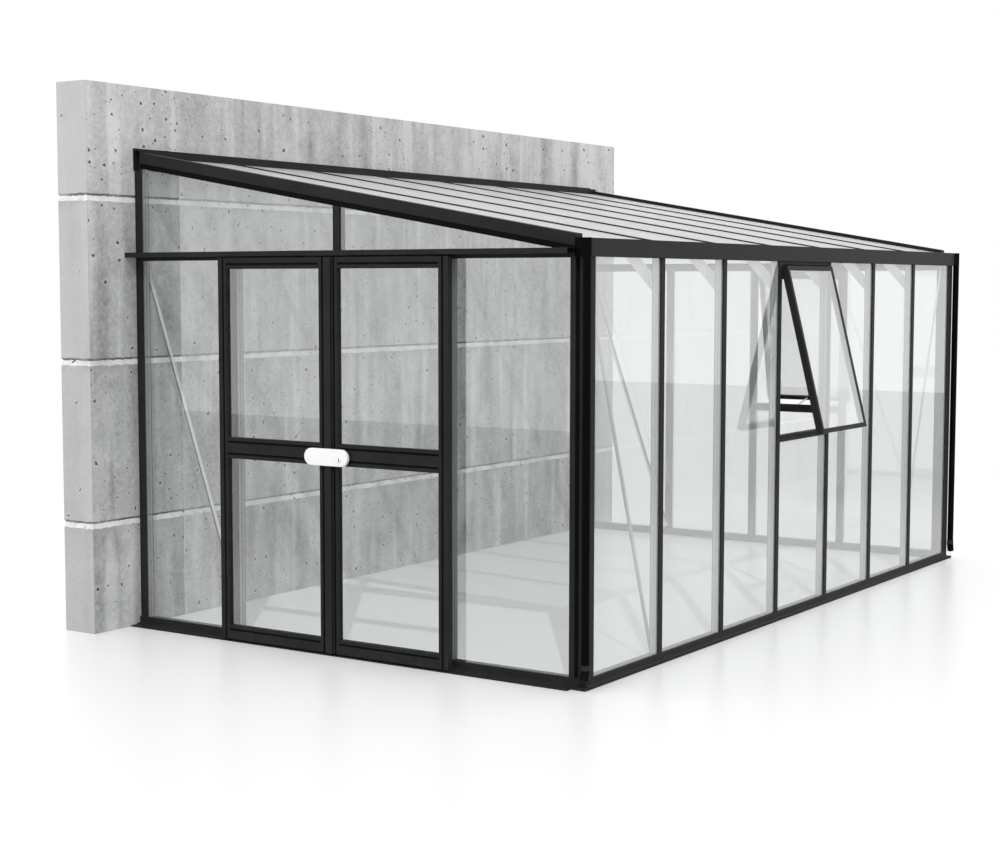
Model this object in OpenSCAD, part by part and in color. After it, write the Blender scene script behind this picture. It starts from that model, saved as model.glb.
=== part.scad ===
// Lean-to greenhouse: a glazed aluminium frame against a concrete wall,
// with a pair of sliding doors in one gable and two top-hung windows.
//
// Sides are drawn in their own coordinates: a runs along the side, d goes
// inwards from the outer face of the posts, and z is up.

/* [Layout] */
// Distance between the posts of the long side
bay_long = 735; // [600:5:900]
// Number of bays along the long side
bays_long = 7; // [5:1:9]
// Distance between the posts of a gable
bay_deep = 745; // [650:5:900]
// From the outer face of a gable to the first grid line of the long side
corner_grid_a = 49; // [45:1:60]
// From the outer face of the long side to the first grid line of a gable
corner_grid_d = 101; // [95:1:120]
// From the last grid line of a gable to the concrete wall
wall_grid = 32; // [25:1:40]
// Bay of the long side that holds the window, counted from the door gable
window_bay = 4; // [2:1:5]

/* [Heights] */
// Top of the sills
sill_h = 50; // [40:1:70]
// Underside of the gutter
eave_h = 2175; // [1900:5:2400]
// Height of the gutter's front
gutter_h = 92; // [80:1:120]
// Height of the rafters' top edge over the eave, in the plane of the long side
roof_rise = 103; // [95:1:135]
// Pitch of the roof in degrees
pitch = 9.74; // [8:0.01:12]
// How far the gable head bars lie below the eave
head_drop = 5; // [3:1:20]
// Height of the door gable's head bar
head_h = 30; // [24:1:31]
// Height of the far gable's head bar, level with the other at its top
far_head_h = 60; // [31:1:80]
// Underside of the windows' transoms
transom_z = 1085; // [900:5:1300]
// Height of the windows' transoms
transom_h = 36; // [30:1:48]
// Height of the transom in the far gable
far_transom_h = 58; // [36:1:80]
// Lower edge of a closed sash
sash_low = 1110; // [925:5:1325]

/* [Concrete wall] */
// Thickness of the wall
wall_t = 237; // [180:1:300]
// Height of the wall over the wall plate
wall_over = 375; // [200:1:700]
// How far the wall runs on past the door gable
wall_near = 367; // [100:1:600]
// How far the wall runs on past the far gable
wall_far = 395; // [100:1:600]
// Height of the first formwork joint
joint_z = 644; // [400:1:900]
// Distance between formwork joints
joint_step = 949; // [700:1:1100]
// Height of the slope below a formwork joint
joint_low = 30; // [15:1:45]
// Height of the slope above a formwork joint
joint_high = 12; // [6:1:30]
// Depth of a formwork joint
joint_d = 8; // [3:1:12]

/* [Glazing bars] */
// Width of the outer cap of a post
cap_w = 46; // [40:1:56]
// Thickness of the outer cap
cap_t = 8; // [6:0.5:12]
// Width of the neck between the panes
neck_w = 16; // [12:1:20]
// Width of a post behind the glass
stem_w = 36; // [28:1:44]
// Depth of a post from its outer face
post_d = 62; // [50:1:80]
// Thickness of the glass
glass_t = 4; // [3:0.5:6]
// Room between the glass and the groove that holds it
glass_clear = 0.3; // [0.2:0.1:0.5]
// Depth of the grooves in sills and head bars
groove_d = 8; // [6:1:12]
// Room between the edge of a pane and the bottom of its groove
edge_clear = 1; // [0.5:0.5:3]

/* [Corner and wall posts] */
// Size of a corner post along the long side
corner_a = 80; // [74:1:100]
// Size of a corner post along the gable
corner_d = 100; // [94:1:120]
// Width of the channel in the gable face of a corner post
channel_w = 26; // [16:1:34]
// Depth of that channel
channel_d = 36; // [8:1:45]
// Distance of that channel from the post's glazed edge
channel_in = 32; // [24:1:36]
// Width of a wall post
wall_post_w = 64; // [64:1:100]
// Width of the step along a wall post's outer corner, beside the wall
wall_step_w = 26; // [15:1:40]
// Depth of that step
wall_step_d = 12; // [5:1:20]

/* [Sills] */
// How far the gable sills reach out under the doors
gable_flange = 80; // [60:1:100]
// How far the front sill reaches out
front_flange = 24; // [15:1:40]
// How far the front sill runs on past the gables
sill_end = 40; // [25:1:60]
// Thickness of the flanges at their outer edge
flange_t = 5; // [4:0.5:10]
// Thickness of the flanges halfway in
flange_mid_t = 6; // [5:0.5:10]
// Height at which the flanges meet the sill's upright face
flange_root = 16; // [12:1:24]
// Thickness of the corner plates at the ends of the front sill
corner_plate_t = 14; // [8:1:20]

/* [Roof] */
// Width of a gable rafter
rafter_w = 60; // [50:1:80]
// Depth of a gable rafter, square to the roof
rafter_d = 92; // [85:1:110]
// Height of the step along the rafters' lower outer edge
rafter_step_h = 30; // [20:1:40]
// Depth of that step
rafter_step_d = 5; // [3:0.5:6]
// How far the glazed roof lies below the rafters' top edge
roof_drop = 18; // [10:1:24]
// Depth of a roof bar
bar_d = 62; // [50:1:70]
// Width of the cap of a roof bar
bar_cap_w = 40; // [32:1:50]
// Thickness of the cap of a roof bar
bar_cap_t = 6; // [4:0.5:8]
// Distance of the roof bars' lower ends from the long side
bar_start = 22; // [10:1:40]
// Distance of the roof panes' lower edges from the long side
pane_start = 32; // [26:1:50]
// Room between the roof panes' upper edges and the wall plate
pane_stop = 16; // [10:1:30]
// Width of the wall plate
plate_w = 56; // [45:1:80]
// Top of the wall plate above the rafters' top edge
plate_rise = 16; // [10:1:40]
// Height of the wall plate
plate_h = 119; // [115:1:160]
// Thickness of the walls of the wall plate
plate_t = 5; // [3:0.5:8]

/* [Gutter and downpipes] */
// How far the gutter stands out from the posts
gutter_out = 17; // [8:1:40]
// Width of the gutter
gutter_w = 82; // [70:1:100]
// Thickness of the gutter's walls
gutter_t = 4; // [3:0.5:6]
// How far the gutter stops short of the gable faces
gutter_short = 16; // [5:1:30]
// Width of the fold along the gutter's front edge
gutter_fold = 12; // [8:1:18]
// Diameter of the downpipes
pipe_dia = 44; // [36:1:46]
// Distance of a downpipe's axis from the gable face
pipe_a = 30; // [28:1:34]
// Distance of a downpipe's axis from the face of the long side
pipe_d = 16; // [14:1:22]
// Height of the bend at the foot of a downpipe
bend_z = 104; // [90:1:200]
// Length of the spout below the bend
spout_l = 52; // [40:1:70]
// Angle of the spout from the upright in degrees
spout_angle = 15; // [5:1:60]
// Height of the collar above the bend
collar_h = 28; // [15:1:40]
// How far the collar stands out
collar_t = 1.5; // [1:0.5:4]

/* [Braces] */
// Height of a knee brace on its post, below the eave
knee_drop = 85; // [60:5:200]
// Reach of a knee brace from its post
knee_reach = 140; // [90:5:250]
// Width of a knee brace where it meets post and bar
knee_w = 95; // [50:1:120]
// Thickness of a knee brace
knee_t = 8; // [5:1:14]
// Width of a wind brace
brace_w = 30; // [20:1:40]
// Thickness of a wind brace
brace_t = 5; // [3:0.5:8]
// Distance of a wind brace's ends from sill and eave
brace_end = 24; // [20:1:60]

/* [Doors] */
// Width of a door leaf
leaf_w = 793; // [740:1:800]
// Thickness of a door leaf
leaf_t = 38; // [30:1:44]
// Gap between the two leaves
leaf_gap = 6; // [5:0.5:10]
// Distance of the leaves' outer face from the gable face
leaf_out = 74; // [66:1:76]
// Gap under a leaf
leaf_low = 12; // [11:0.5:20]
// Gap between a leaf and the track above it
leaf_top_gap = 8; // [6:0.5:12]
// Width of the flat face of a stile or rail
face_w = 30; // [20:1:40]
// Width of the groove beside that face
rebate_w = 12; // [8:1:16]
// Width of the bead that holds the glass
bead_w = 20; // [16:1:26]
// Depth of the groove beside the face
rebate_d = 6; // [3:0.5:8]
// Width of the face of the middle rail
mid_face = 56; // [40:1:80]
// Height of the middle rail's centre
mid_z = 1111; // [900:1:1300]
// Width of the face of the bottom rail
kick_face = 50; // [30:1:120]
// Width of the meeting strip
strip_w = 46; // [36:1:52]
// Thickness of the meeting strip
strip_t = 5; // [3:0.5:6]
// Room between the meeting strip and the leaf that it covers
strip_clear = 5.2; // [5:0.1:8]

/* [Door track] */
// How far the track stands out from the gable face
track_out = 80; // [76:1:100]
// Height of the track
track_h = 28; // [26:1:40]
// Height of the track's underside over that of the head bars
track_rise = 20; // [15:1:22]
// Thickness of the track's walls
track_t = 3; // [2:0.5:4]
// Width of the slot in the track's underside
slot_w = 16; // [15:1:20]
// Distance of the slot's middle from the gable face
slot_out = 52; // [48:1:56]
// Where the track starts, from the face of the long side
track_start = 70; // [67:1:90]
// Diameter of the door wheels
wheel_dia = 16; // [12:1:16]
// Width of the door wheels
wheel_w = 14; // [8:1:20]
// Room between a wheel and the lip that it runs on
wheel_clear = 0.3; // [0.2:0.1:0.5]
// Length of a hanger along the leaf
hanger_l = 60; // [40:1:100]
// Thickness of a hanger
hanger_t = 4; // [3:0.5:5]
// Distance of a hanger's middle from the edge of its leaf
hanger_in = 130; // [90:5:200]

/* [Lock] */
// Length of the lock case
lock_l = 316; // [250:1:360]
// Height of the lock case
lock_h = 109; // [80:1:120]
// Thickness of the lock case
lock_t = 20; // [12:1:30]
// Radius of the lock case's corners
lock_r = 46; // [20:1:48]
// Height of the lock case's centre
lock_z = 1097; // [900:1:1300]
// Length of the pad behind the lock case
lock_pad_l = 100; // [60:1:120]
// Height of the pad behind the lock case
lock_pad_h = 50; // [30:1:56]
// Gap between the meeting strip and that pad
lock_pad_in = 5; // [3:1:10]
// Diameter of the lock knob
knob_dia = 26; // [16:1:34]
// Height of the lock knob
knob_h = 9; // [5:1:15]
// Distance of the knob from the end of the lock case
knob_in = 58; // [50:1:90]
// Distance of the knob below the centre of the lock case
knob_drop = 8; // [0:1:14]

/* [Windows] */
// Opening angle of the window in the long side
front_angle = 14; // [4:0.1:30]
// Opening angle of the window in the far gable
far_angle = 11; // [4:0.1:30]
// Gap between a sash and the parts around it
sash_gap = 5; // [4:0.5:10]
// Thickness of a sash
sash_t = 42; // [30:1:50]
// Width of the stiles and rails of a sash
sash_w = 28; // [24:1:46]
// Thickness of a sash in front of its glass
sash_lip = 3; // [2:0.5:16]
// Depth of the fixed bar that carries a sash, behind the hinge line
hinge_bar_d = 36; // [24:1:44]
// Height of the fixed bar that carries a sash
hinge_bar_h = 60; // [50:1:80]
// Height of the fixed bar's nose over the sash
hinge_nose_h = 20; // [10:1:22]
// Distance of that nose from the posts' outer face
hinge_nose_d = 2; // [1:0.5:5]
// Gap between the top of a sash and the eave or head bar over it
sash_head_gap = 36; // [34:1:44]
// Distance of the hinge line from the posts' outer face
hinge_d = 12; // [6:0.5:16]
// Width of a window stay
stay_w = 14; // [8:1:20]
// Thickness of a window stay
stay_t = 5; // [3:0.5:8]

/* [Hidden] */

frame_colour = "#2b2d2e";
bays_deep = 4;
length = 2 * corner_grid_a + bays_long * bay_long;
depth = corner_grid_d + bays_deep * bay_deep + wall_grid;
groove_w = glass_t + 2 * glass_clear;
glass_d = cap_t + glass_clear;
gutter_back = gutter_w - gutter_out;
roof_z = eave_h + roof_rise;
head_z = eave_h - head_drop;
far_head_z = head_z + head_h - far_head_h;
track_z = head_z + track_rise;
overlap = 1;
// Room left where a sloping piece rests on another
seat = 0.1;

// Sash sizes and the reach of the open window, which set the origin
sash_top = eave_h - sash_head_gap;
front_reach = sash_drop(sash_top) * sin(front_angle) + sash_t * cos(front_angle) - hinge_d;
origin_x = (length + wall_far - wall_near) / 2;
origin_y = (depth + wall_t - front_reach) / 2;

// Door sizes, in the coordinates of the door gable
meeting = corner_grid_d + 2 * bay_deep;
leaf_top = track_z - leaf_top_gap;
stile_w = face_w + rebate_w + bead_w;
mid_rail_h = mid_face + 2 * (rebate_w + bead_w);
kick_rail_h = kick_face + rebate_w + bead_w;
pane_out = leaf_out - (leaf_t - glass_t) / 2;
strip_face = leaf_out + strip_clear + strip_t;

function grid_a(k) = corner_grid_a + k * bay_long;
function grid_d(k) = corner_grid_d + k * bay_deep;
// Height of a line n below the rafters' top edge, at a distance y from the long side
function roof_at(y, n) = roof_z + y * tan(pitch) - n / cos(pitch);

// Top and underside of the wall plate, and the top of the wall
plate_top = roof_at(depth - plate_w, 0) + plate_rise;
plate_z = plate_top - plate_h;
wall_h = plate_top + wall_over;
// A height over the whole roof, for cuts
sky = 2 * plate_top;

// Puts the finished pieces round the origin
module placed() {
    translate([-origin_x, -origin_y, 0]) children();
}

// Side coordinates to the door gable and the far gable
module door_gable() {
    mirror([1, -1, 0]) children();
}
module far_gable() {
    translate([length, 0, 0]) mirror([1, 0, 0]) mirror([1, -1, 0]) children();
}

// Lays an outline drawn in d and z along the side, from a0 to a1
module along(a0, a1) {
    translate([a0, 0, 0]) rotate([90, 0, 90]) linear_extrude(a1 - a0) children();
}

// Lays an outline drawn in a and z upright, from d0 inwards
module upright(d0, t) {
    translate([0, d0 + t, 0]) rotate([90, 0, 0]) linear_extrude(t) children();
}

// Lays an outline drawn across the roof down the slope, between two distances from the long side
module sloped(x, y0, y1) {
    translate([x, 0, roof_z]) rotate([pitch, 0, 0])
        translate([0, y0 / cos(pitch), 0]) rotate([-90, 0, 0])
            linear_extrude((y1 - y0) / cos(pitch)) children();
}

// Outline of a glazing bar: outer cap, neck between the panes, stem behind
module bar_outline(cap, thick, neck, stem, deep) {
    behind = thick + groove_w;
    for (side = [0, 1]) mirror([side, 0])
        polygon([[0, 0], [cap / 2, 0], [cap / 2, thick], [neck / 2, thick], [neck / 2, behind],
            [stem / 2, behind], [stem / 2, deep], [0, deep]]);
}

module post(a, z0, z1) {
    translate([a, 0, z0]) linear_extrude(z1 - z0) bar_outline(cap_w, cap_t, neck_w, stem_w, post_d);
}

// Pane from a0 to a1 in the plane of a side
module pane(a0, a1, z0, z1) {
    translate([a0, glass_d, z0]) cube([a1 - a0, glass_t, z1 - z0]);
}

// Groove for the edge of a pane, cut in a face at z, upwards or downwards
module edge_groove(z, way) {
    translate([cap_t, way > 0 ? z : z - groove_d]) square([groove_w, groove_d]);
}

// Space above the underside of the gable rafters
module over_rafters(y0) {
    far = depth + overlap;
    translate([-overlap, 0, 0]) along(0, length + 2 * overlap)
        polygon([[y0, roof_at(y0, rafter_d) - seat], [far, roof_at(far, rafter_d) - seat],
            [far, sky], [y0, sky]]);
}

// Concrete wall with its formwork joints

wall_run = length + wall_near + wall_far;

// Elevation of the wall, w wide, drawn in at both edges by each joint
module jointed_outline(w) {
    edge = [for (z = [joint_z : joint_step : wall_h - joint_high])
        each [[w / 2, z - joint_low], [w / 2 - joint_d, z], [w / 2, z + joint_high]]];
    right = concat([[w / 2, 0]], edge, [[w / 2, wall_h]]);
    left = [for (k = [len(right) - 1 : -1 : 0]) [-right[k][0], right[k][1]]];
    polygon(concat(right, left));
}

module concrete_wall() {
    color("#b4b4b2") translate([wall_run / 2 - wall_near, depth + wall_t / 2, 0]) intersection() {
        rotate([90, 0, 0]) linear_extrude(wall_t, center = true) jointed_outline(wall_run);
        rotate([90, 0, 90]) linear_extrude(wall_run, center = true) jointed_outline(wall_t);
    }
}

// Sills

module sill_outline(flange) {
    difference() {
        polygon([[-flange, 0], [post_d, 0], [post_d, sill_h], [0, sill_h], [0, flange_root],
            [-flange / 2, flange_mid_t], [-flange, flange_t]]);
        edge_groove(sill_h, -1);
    }
}

module gable_sill() {
    along(post_d, depth) sill_outline(gable_flange);
}

module door_gable_sill() {
    color(frame_colour) door_gable() gable_sill();
}

module far_gable_sill() {
    color(frame_colour) far_gable() gable_sill();
}

module front_sill() {
    color(frame_colour) {
        along(0, length) sill_outline(front_flange);
        for (a = [-sill_end, length])
            translate([a, -front_flange, 0]) cube([sill_end, front_flange + post_d, corner_plate_t]);
    }
}

// Posts

module wall_post() {
    in = depth - wall_post_w;
    difference() {
        translate([0, 0, sill_h]) linear_extrude(roof_at(depth, 0) - sill_h) difference() {
            translate([in, 0]) square([wall_post_w, post_d]);
            translate([in - overlap, cap_t]) square([groove_d + edge_clear + overlap, groove_w]);
            translate([depth - wall_step_w, -overlap]) square([wall_step_w + overlap, wall_step_d + overlap]);
        }
        translate([depth - plate_w, -overlap, plate_z]) cube([plate_w + overlap, post_d + 2 * overlap, sky]);
    }
}

module wall_posts() {
    color(frame_colour) difference() {
        union() {
            door_gable() wall_post();
            far_gable() wall_post();
        }
        over_rafters(0);
    }
}

module corner_outline() {
    channel_y = corner_d - channel_w - channel_in;
    difference() {
        square([corner_a, corner_d]);
        translate([post_d, post_d]) square([corner_a, corner_d]);
        translate([corner_a - groove_d, cap_t]) square([groove_d + overlap, groove_w]);
        translate([cap_t, corner_d - groove_d]) square([groove_w, groove_d + overlap]);
        translate([-overlap, channel_y]) square([channel_d + overlap, channel_w]);
    }
}

module corner_post() {
    translate([0, 0, sill_h]) linear_extrude(roof_at(corner_d, 0) - sill_h) corner_outline();
}

module corner_posts() {
    color(frame_colour) difference() {
        union() {
            corner_post();
            translate([length, 0, 0]) mirror([1, 0, 0]) corner_post();
        }
        translate([-overlap, -overlap, eave_h])
            cube([length + 2 * overlap, gutter_back + 2 * overlap, sky]);
        over_rafters(0);
    }
}

module front_posts() {
    color(frame_colour) for (k = [1 : bays_long - 1]) post(grid_a(k), sill_h, eave_h);
}

module door_posts() {
    color(frame_colour) door_gable() for (k = [1, 3]) post(grid_d(k), sill_h, head_z);
}

module far_gable_posts() {
    color(frame_colour) far_gable() for (k = [1 : 3]) post(grid_d(k), sill_h, far_head_z);
}

module gable_stubs() {
    color(frame_colour) difference() {
        union() {
            door_gable() post(meeting, head_z + head_h, roof_at(meeting + cap_w, 0));
            far_gable() post(meeting, head_z + head_h, roof_at(meeting + cap_w, 0));
        }
        over_rafters(0);
    }
}

// Head bars of the gables

module head_bar(z, high) {
    along(corner_d, depth - wall_post_w) difference() {
        translate([0, z]) square([post_d, high]);
        edge_groove(z, 1);
        edge_groove(z + high, -1);
    }
}

module door_gable_head_bar() {
    color(frame_colour) door_gable() head_bar(head_z, head_h);
}

module far_gable_head_bar() {
    color(frame_colour) far_gable() head_bar(far_head_z, far_head_h);
}

// Track that the doors hang from, open below along a slot

module door_track() {
    color(frame_colour) door_gable() along(track_start, depth) difference() {
        translate([-track_out, track_z]) square([track_out, track_h]);
        translate([track_t - track_out, track_z + track_t]) square([track_out - 2 * track_t, track_h - 2 * track_t]);
        translate([-slot_out - slot_w / 2, track_z - overlap]) square([slot_w, track_t + 2 * overlap]);
    }
}

// Roof

module rafter_outline() {
    glass_top = roof_drop + bar_cap_t;
    difference() {
        square([rafter_w, rafter_d]);
        translate([rafter_w - groove_d, glass_top]) square([groove_d + overlap, groove_w]);
        translate([cap_t, rafter_d - groove_d]) square([groove_w, groove_d + overlap]);
        translate([-overlap, rafter_d - rafter_step_h]) square([rafter_step_d + overlap, rafter_step_h + overlap]);
    }
}

// The rafter's lower end is cut plumb behind the gutter, its upper end at the wall plate
module gable_rafter() {
    intersection() {
        sloped(0, 0, depth) rafter_outline();
        translate([-overlap, gutter_back + overlap, 0])
            cube([rafter_w + 2 * overlap, depth - plate_w - gutter_back - overlap, sky]);
    }
}

module gable_rafters() {
    color(frame_colour) {
        gable_rafter();
        translate([length, 0, 0]) mirror([1, 0, 0]) gable_rafter();
    }
}

module roof_bar(x) {
    intersection() {
        sloped(x, 0, depth) translate([0, roof_drop]) bar_outline(bar_cap_w, bar_cap_t, neck_w, stem_w, bar_d);
        translate([x - bar_cap_w, bar_start, 0])
            cube([2 * bar_cap_w, depth - plate_w - bar_start, sky]);
    }
}

module roof_bars() {
    color(frame_colour) for (k = [1 : bays_long - 1]) roof_bar(grid_a(k));
}

module wall_plate() {
    color(frame_colour) along(0, length) difference() {
        translate([depth - plate_w, plate_z]) square([plate_w, plate_h]);
        translate([depth - plate_w + plate_t, plate_z - overlap])
            square([plate_w - 2 * plate_t, plate_h - plate_t + overlap]);
    }
}

module roof_glass() {
    n = roof_drop + bar_cap_t + glass_clear;
    color("#c9d6d3", 0.35) for (k = [0 : bays_long - 1]) {
        x0 = k == 0 ? rafter_w - groove_d + edge_clear : grid_a(k) + neck_w / 2 + edge_clear;
        x1 = k == bays_long - 1 ? length - rafter_w + groove_d - edge_clear
            : grid_a(k + 1) - neck_w / 2 - edge_clear;
        sloped(0, pane_start, depth - plate_w - pane_stop)
            translate([x0, n]) square([x1 - x0, glass_t]);
    }
}

// Gutter and downpipes

module gutter() {
    back_top = roof_at(gutter_back - gutter_t, roof_drop + bar_d) - seat;
    color(frame_colour) along(gutter_short, length - gutter_short)
        polygon([[-gutter_out, eave_h], [gutter_back, eave_h], [gutter_back, back_top],
            [gutter_back - gutter_t, back_top], [gutter_back - gutter_t, eave_h + gutter_t],
            [gutter_t - gutter_out, eave_h + gutter_t], [gutter_t - gutter_out, eave_h + gutter_h - gutter_t],
            [gutter_fold - gutter_out, eave_h + gutter_h - gutter_t], [gutter_fold - gutter_out, eave_h + gutter_h],
            [-gutter_out, eave_h + gutter_h]]);
}

module outlet() {
    round_r = pipe_dia / 2 + collar_t;
    translate([0, 0, eave_h]) linear_extrude(gutter_h) {
        polygon([[gutter_short, -gutter_out], [gutter_short, gutter_back], [-gutter_short, gutter_back],
            [-pipe_a - round_r, round_r - pipe_d], [-pipe_a - round_r, -pipe_d],
            [-pipe_a, -pipe_d - round_r]]);
    }
}

module gutter_outlets() {
    color("#161718") {
        outlet();
        translate([length, 0, 0]) mirror([1, 0, 0]) outlet();
    }
}

// Upright pipe with a collar over its bend, and a spout that turns out along the long side
module downpipe() {
    r = pipe_dia / 2;
    collar_r = r + collar_t;
    translate([-pipe_a, -pipe_d, bend_z]) {
        cylinder(r = r, h = eave_h - bend_z);
        cylinder(r = collar_r, h = collar_h);
        sphere(r = collar_r + overlap);
        rotate([0, 180 + spout_angle, 0]) cylinder(r = collar_r, h = spout_l);
    }
}

module downpipes() {
    color("#161718") {
        downpipe();
        translate([length, 0, 0]) mirror([1, 0, 0]) downpipe();
    }
}

// Braces

module knee_brace(x) {
    low = eave_h - knee_drop;
    y0 = post_d + knee_reach;
    y1 = y0 + knee_w;
    under = roof_drop + bar_d + seat;
    translate([x - knee_t / 2, 0, 0]) along(0, knee_t)
        polygon([[post_d, low - knee_w], [y1, roof_at(y1, under)], [y0, roof_at(y0, under)], [post_d, low]]);
}

module knee_braces() {
    color(frame_colour) for (k = [1 : bays_long - 1]) knee_brace(grid_a(k));
}

// Flat bar on the inner faces of two posts, from high at a0 to low at a1
module wind_brace(a0, a1) {
    top = eave_h - brace_end;
    foot = sill_h + brace_end;
    tilt = atan2(top - foot, a1 - a0);
    run = norm([a1 - a0, top - foot]);
    upright(post_d, brace_t) translate([a0, top]) rotate(-tilt) translate([0, -brace_w / 2]) square([run, brace_w]);
}

module front_braces() {
    a0 = post_d + brace_w / 2 + overlap;
    color(frame_colour) {
        wind_brace(a0, grid_a(1));
        translate([length, 0, 0]) mirror([1, 0, 0]) wind_brace(a0, grid_a(1));
    }
}

module gable_brace() {
    wind_brace(depth - wall_post_w / 2, grid_d(3));
}

module gable_braces() {
    color(frame_colour) {
        door_gable() gable_brace();
        far_gable() gable_brace();
    }
}

// Fixed glass

pane_low = sill_h - groove_d + edge_clear;
pane_high = head_z + groove_d - edge_clear;
far_pane_high = far_head_z + groove_d - edge_clear;
pane_eave = eave_h - edge_clear;
far_transom_z = sash_low - sash_gap - far_transom_h;
half_pane = transom_z + groove_d - edge_clear;
far_half_pane = far_transom_z + groove_d - edge_clear;
in_bar = neck_w / 2 + edge_clear;

module front_glass() {
    color("#c9d6d3", 0.35) for (k = [0 : bays_long - 1]) {
        a0 = k == 0 ? corner_a - groove_d + edge_clear : grid_a(k) + in_bar;
        a1 = k == bays_long - 1 ? length - corner_a + groove_d - edge_clear : grid_a(k + 1) - in_bar;
        pane(a0, a1, pane_low, k == window_bay - 1 ? half_pane : pane_eave);
    }
}

// Panes of a gable below the head bar, in the bays that are listed
module gable_panes(bays, half_bay, high) {
    for (k = bays) {
        a0 = k == 0 ? corner_d - groove_d + edge_clear : grid_d(k) + in_bar;
        a1 = k == bays_deep - 1 ? depth - wall_post_w + groove_d - edge_clear : grid_d(k + 1) - in_bar;
        pane(a0, a1, pane_low, k == half_bay ? far_half_pane : high);
    }
}

module door_gable_glass() {
    color("#c9d6d3", 0.35) door_gable() gable_panes([0, 3], -1, pane_high);
}

module far_gable_glass() {
    color("#c9d6d3", 0.35) far_gable() gable_panes([0 : 3], 1, far_pane_high);
}

// Sloping panes between the head bar and the rafter
module gable_top_panes() {
    low = head_z + head_h - groove_d + edge_clear;
    n = rafter_d - groove_d + edge_clear;
    first = corner_d - groove_d + edge_clear;
    last = depth - wall_post_w + groove_d - edge_clear;
    for (ends = [[first, meeting - in_bar], [meeting + in_bar, last]])
        upright(glass_d, glass_t)
            polygon([[ends[0], low], [ends[1], low], [ends[1], roof_at(ends[1], n)], [ends[0], roof_at(ends[0], n)]]);
}

module door_gable_top_glass() {
    color("#c9d6d3", 0.35) door_gable() gable_top_panes();
}

module far_gable_top_glass() {
    color("#c9d6d3", 0.35) far_gable() gable_top_panes();
}

// Top-hung windows: one in the long side, one in the far gable

window_bays = [[grid_a(window_bay - 1), grid_a(window_bay)], [grid_d(1), grid_d(2)]];

module on_window_sides() {
    children(0);
    far_gable() children(1);
}

// Bar under a window, with a rebate for the foot of the closed sash where it stands higher
module transom(ends, z, high) {
    rebate_z = sash_low - sash_gap;
    along(ends[0] + cap_w / 2, ends[1] - cap_w / 2) difference() {
        translate([0, z]) square([post_d, high]);
        edge_groove(z, 1);
        if (z + high > rebate_z)
            translate([-overlap, rebate_z]) square([hinge_d + sash_gap + overlap, z + high - rebate_z + overlap]);
    }
}

module window_transoms() {
    color(frame_colour) on_window_sides() {
        transom(window_bays[0], transom_z, transom_h);
        transom(window_bays[1], far_transom_z, far_transom_h);
    }
}

// Fixed bar under the eave or the head bar, which the sash hangs on
module hinge_bar(ends, top) {
    front = hinge_d + glass_clear;
    along(ends[0] + cap_w / 2, ends[1] - cap_w / 2)
        polygon([[hinge_nose_d, top - hinge_nose_h], [front, top - hinge_nose_h], [front, top - hinge_bar_h],
            [front + hinge_bar_d, top - hinge_bar_h], [front + hinge_bar_d, top], [hinge_nose_d, top]]);
}

module window_hinge_bars() {
    color(frame_colour) on_window_sides() {
        hinge_bar(window_bays[0], eave_h);
        hinge_bar(window_bays[1], far_head_z);
    }
}

// Turns a sash out about the hinge line at its top edge
module hung(top, angle) {
    translate([0, hinge_d, top]) rotate([-angle, 0, 0]) children();
}

// Outline of a stile or rail of a sash, its glass groove towards the middle
module sash_outline() {
    difference() {
        translate([0, -sash_t]) square([sash_w, sash_t]);
        translate([sash_w - groove_d, sash_lip - sash_t]) square([groove_d + overlap, groove_w]);
    }
}

function sash_ends(ends) = [ends[0] + cap_w / 2 + sash_gap, ends[1] - cap_w / 2 - sash_gap];
function sash_drop(top) = top - sash_low;

module sash_stiles(ends, top) {
    e = sash_ends(ends);
    high = sash_drop(top);
    translate([e[0], 0, -high]) linear_extrude(high) sash_outline();
    translate([e[1], 0, -high]) mirror([1, 0, 0]) linear_extrude(high) sash_outline();
}

module sash_rails(ends, top) {
    e = sash_ends(ends);
    high = sash_drop(top);
    for (z = [0, 1])
        translate([e[0] + sash_w, 0, z == 0 ? -high : 0]) mirror([0, 0, z])
            rotate([90, 0, 90]) linear_extrude(e[1] - e[0] - 2 * sash_w) mirror([1, -1]) sash_outline();
}

module sash_pane(ends, top) {
    e = sash_ends(ends);
    high = sash_drop(top);
    in = sash_w - groove_d + edge_clear;
    translate([e[0] + in, sash_lip + glass_clear - sash_t, in - high])
        cube([e[1] - e[0] - 2 * in, glass_t, high - 2 * in]);
}

far_sash_top = far_head_z - sash_head_gap;

module window_stiles() {
    color(frame_colour) on_window_sides() {
        hung(sash_top, front_angle) sash_stiles(window_bays[0], sash_top);
        hung(far_sash_top, far_angle) sash_stiles(window_bays[1], far_sash_top);
    }
}

module window_rails() {
    color(frame_colour) on_window_sides() {
        hung(sash_top, front_angle) sash_rails(window_bays[0], sash_top);
        hung(far_sash_top, far_angle) sash_rails(window_bays[1], far_sash_top);
    }
}

module window_glass() {
    color("#c9d6d3", 0.35) on_window_sides() {
        hung(sash_top, front_angle) sash_pane(window_bays[0], sash_top);
        hung(far_sash_top, far_angle) sash_pane(window_bays[1], far_sash_top);
    }
}

// Flat stay from the transom's outer face to the foot of the sash
module stay(ends, top, angle) {
    high = sash_drop(top);
    z0 = sash_low - sash_gap - 2 * stay_t;
    foot_d = hinge_d - high * sin(angle);
    foot_z = top - high * cos(angle);
    rise = sash_w / 2;
    run_d = foot_d + rise * sin(angle);
    run_z = foot_z + rise * cos(angle);
    along((ends[0] + ends[1] - stay_w) / 2, (ends[0] + ends[1] + stay_w) / 2)
        polygon([[0, z0], [run_d, run_z], [run_d + stay_t * sin(angle), run_z + stay_t * cos(angle)], [0, z0 + stay_t]]);
}

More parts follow.
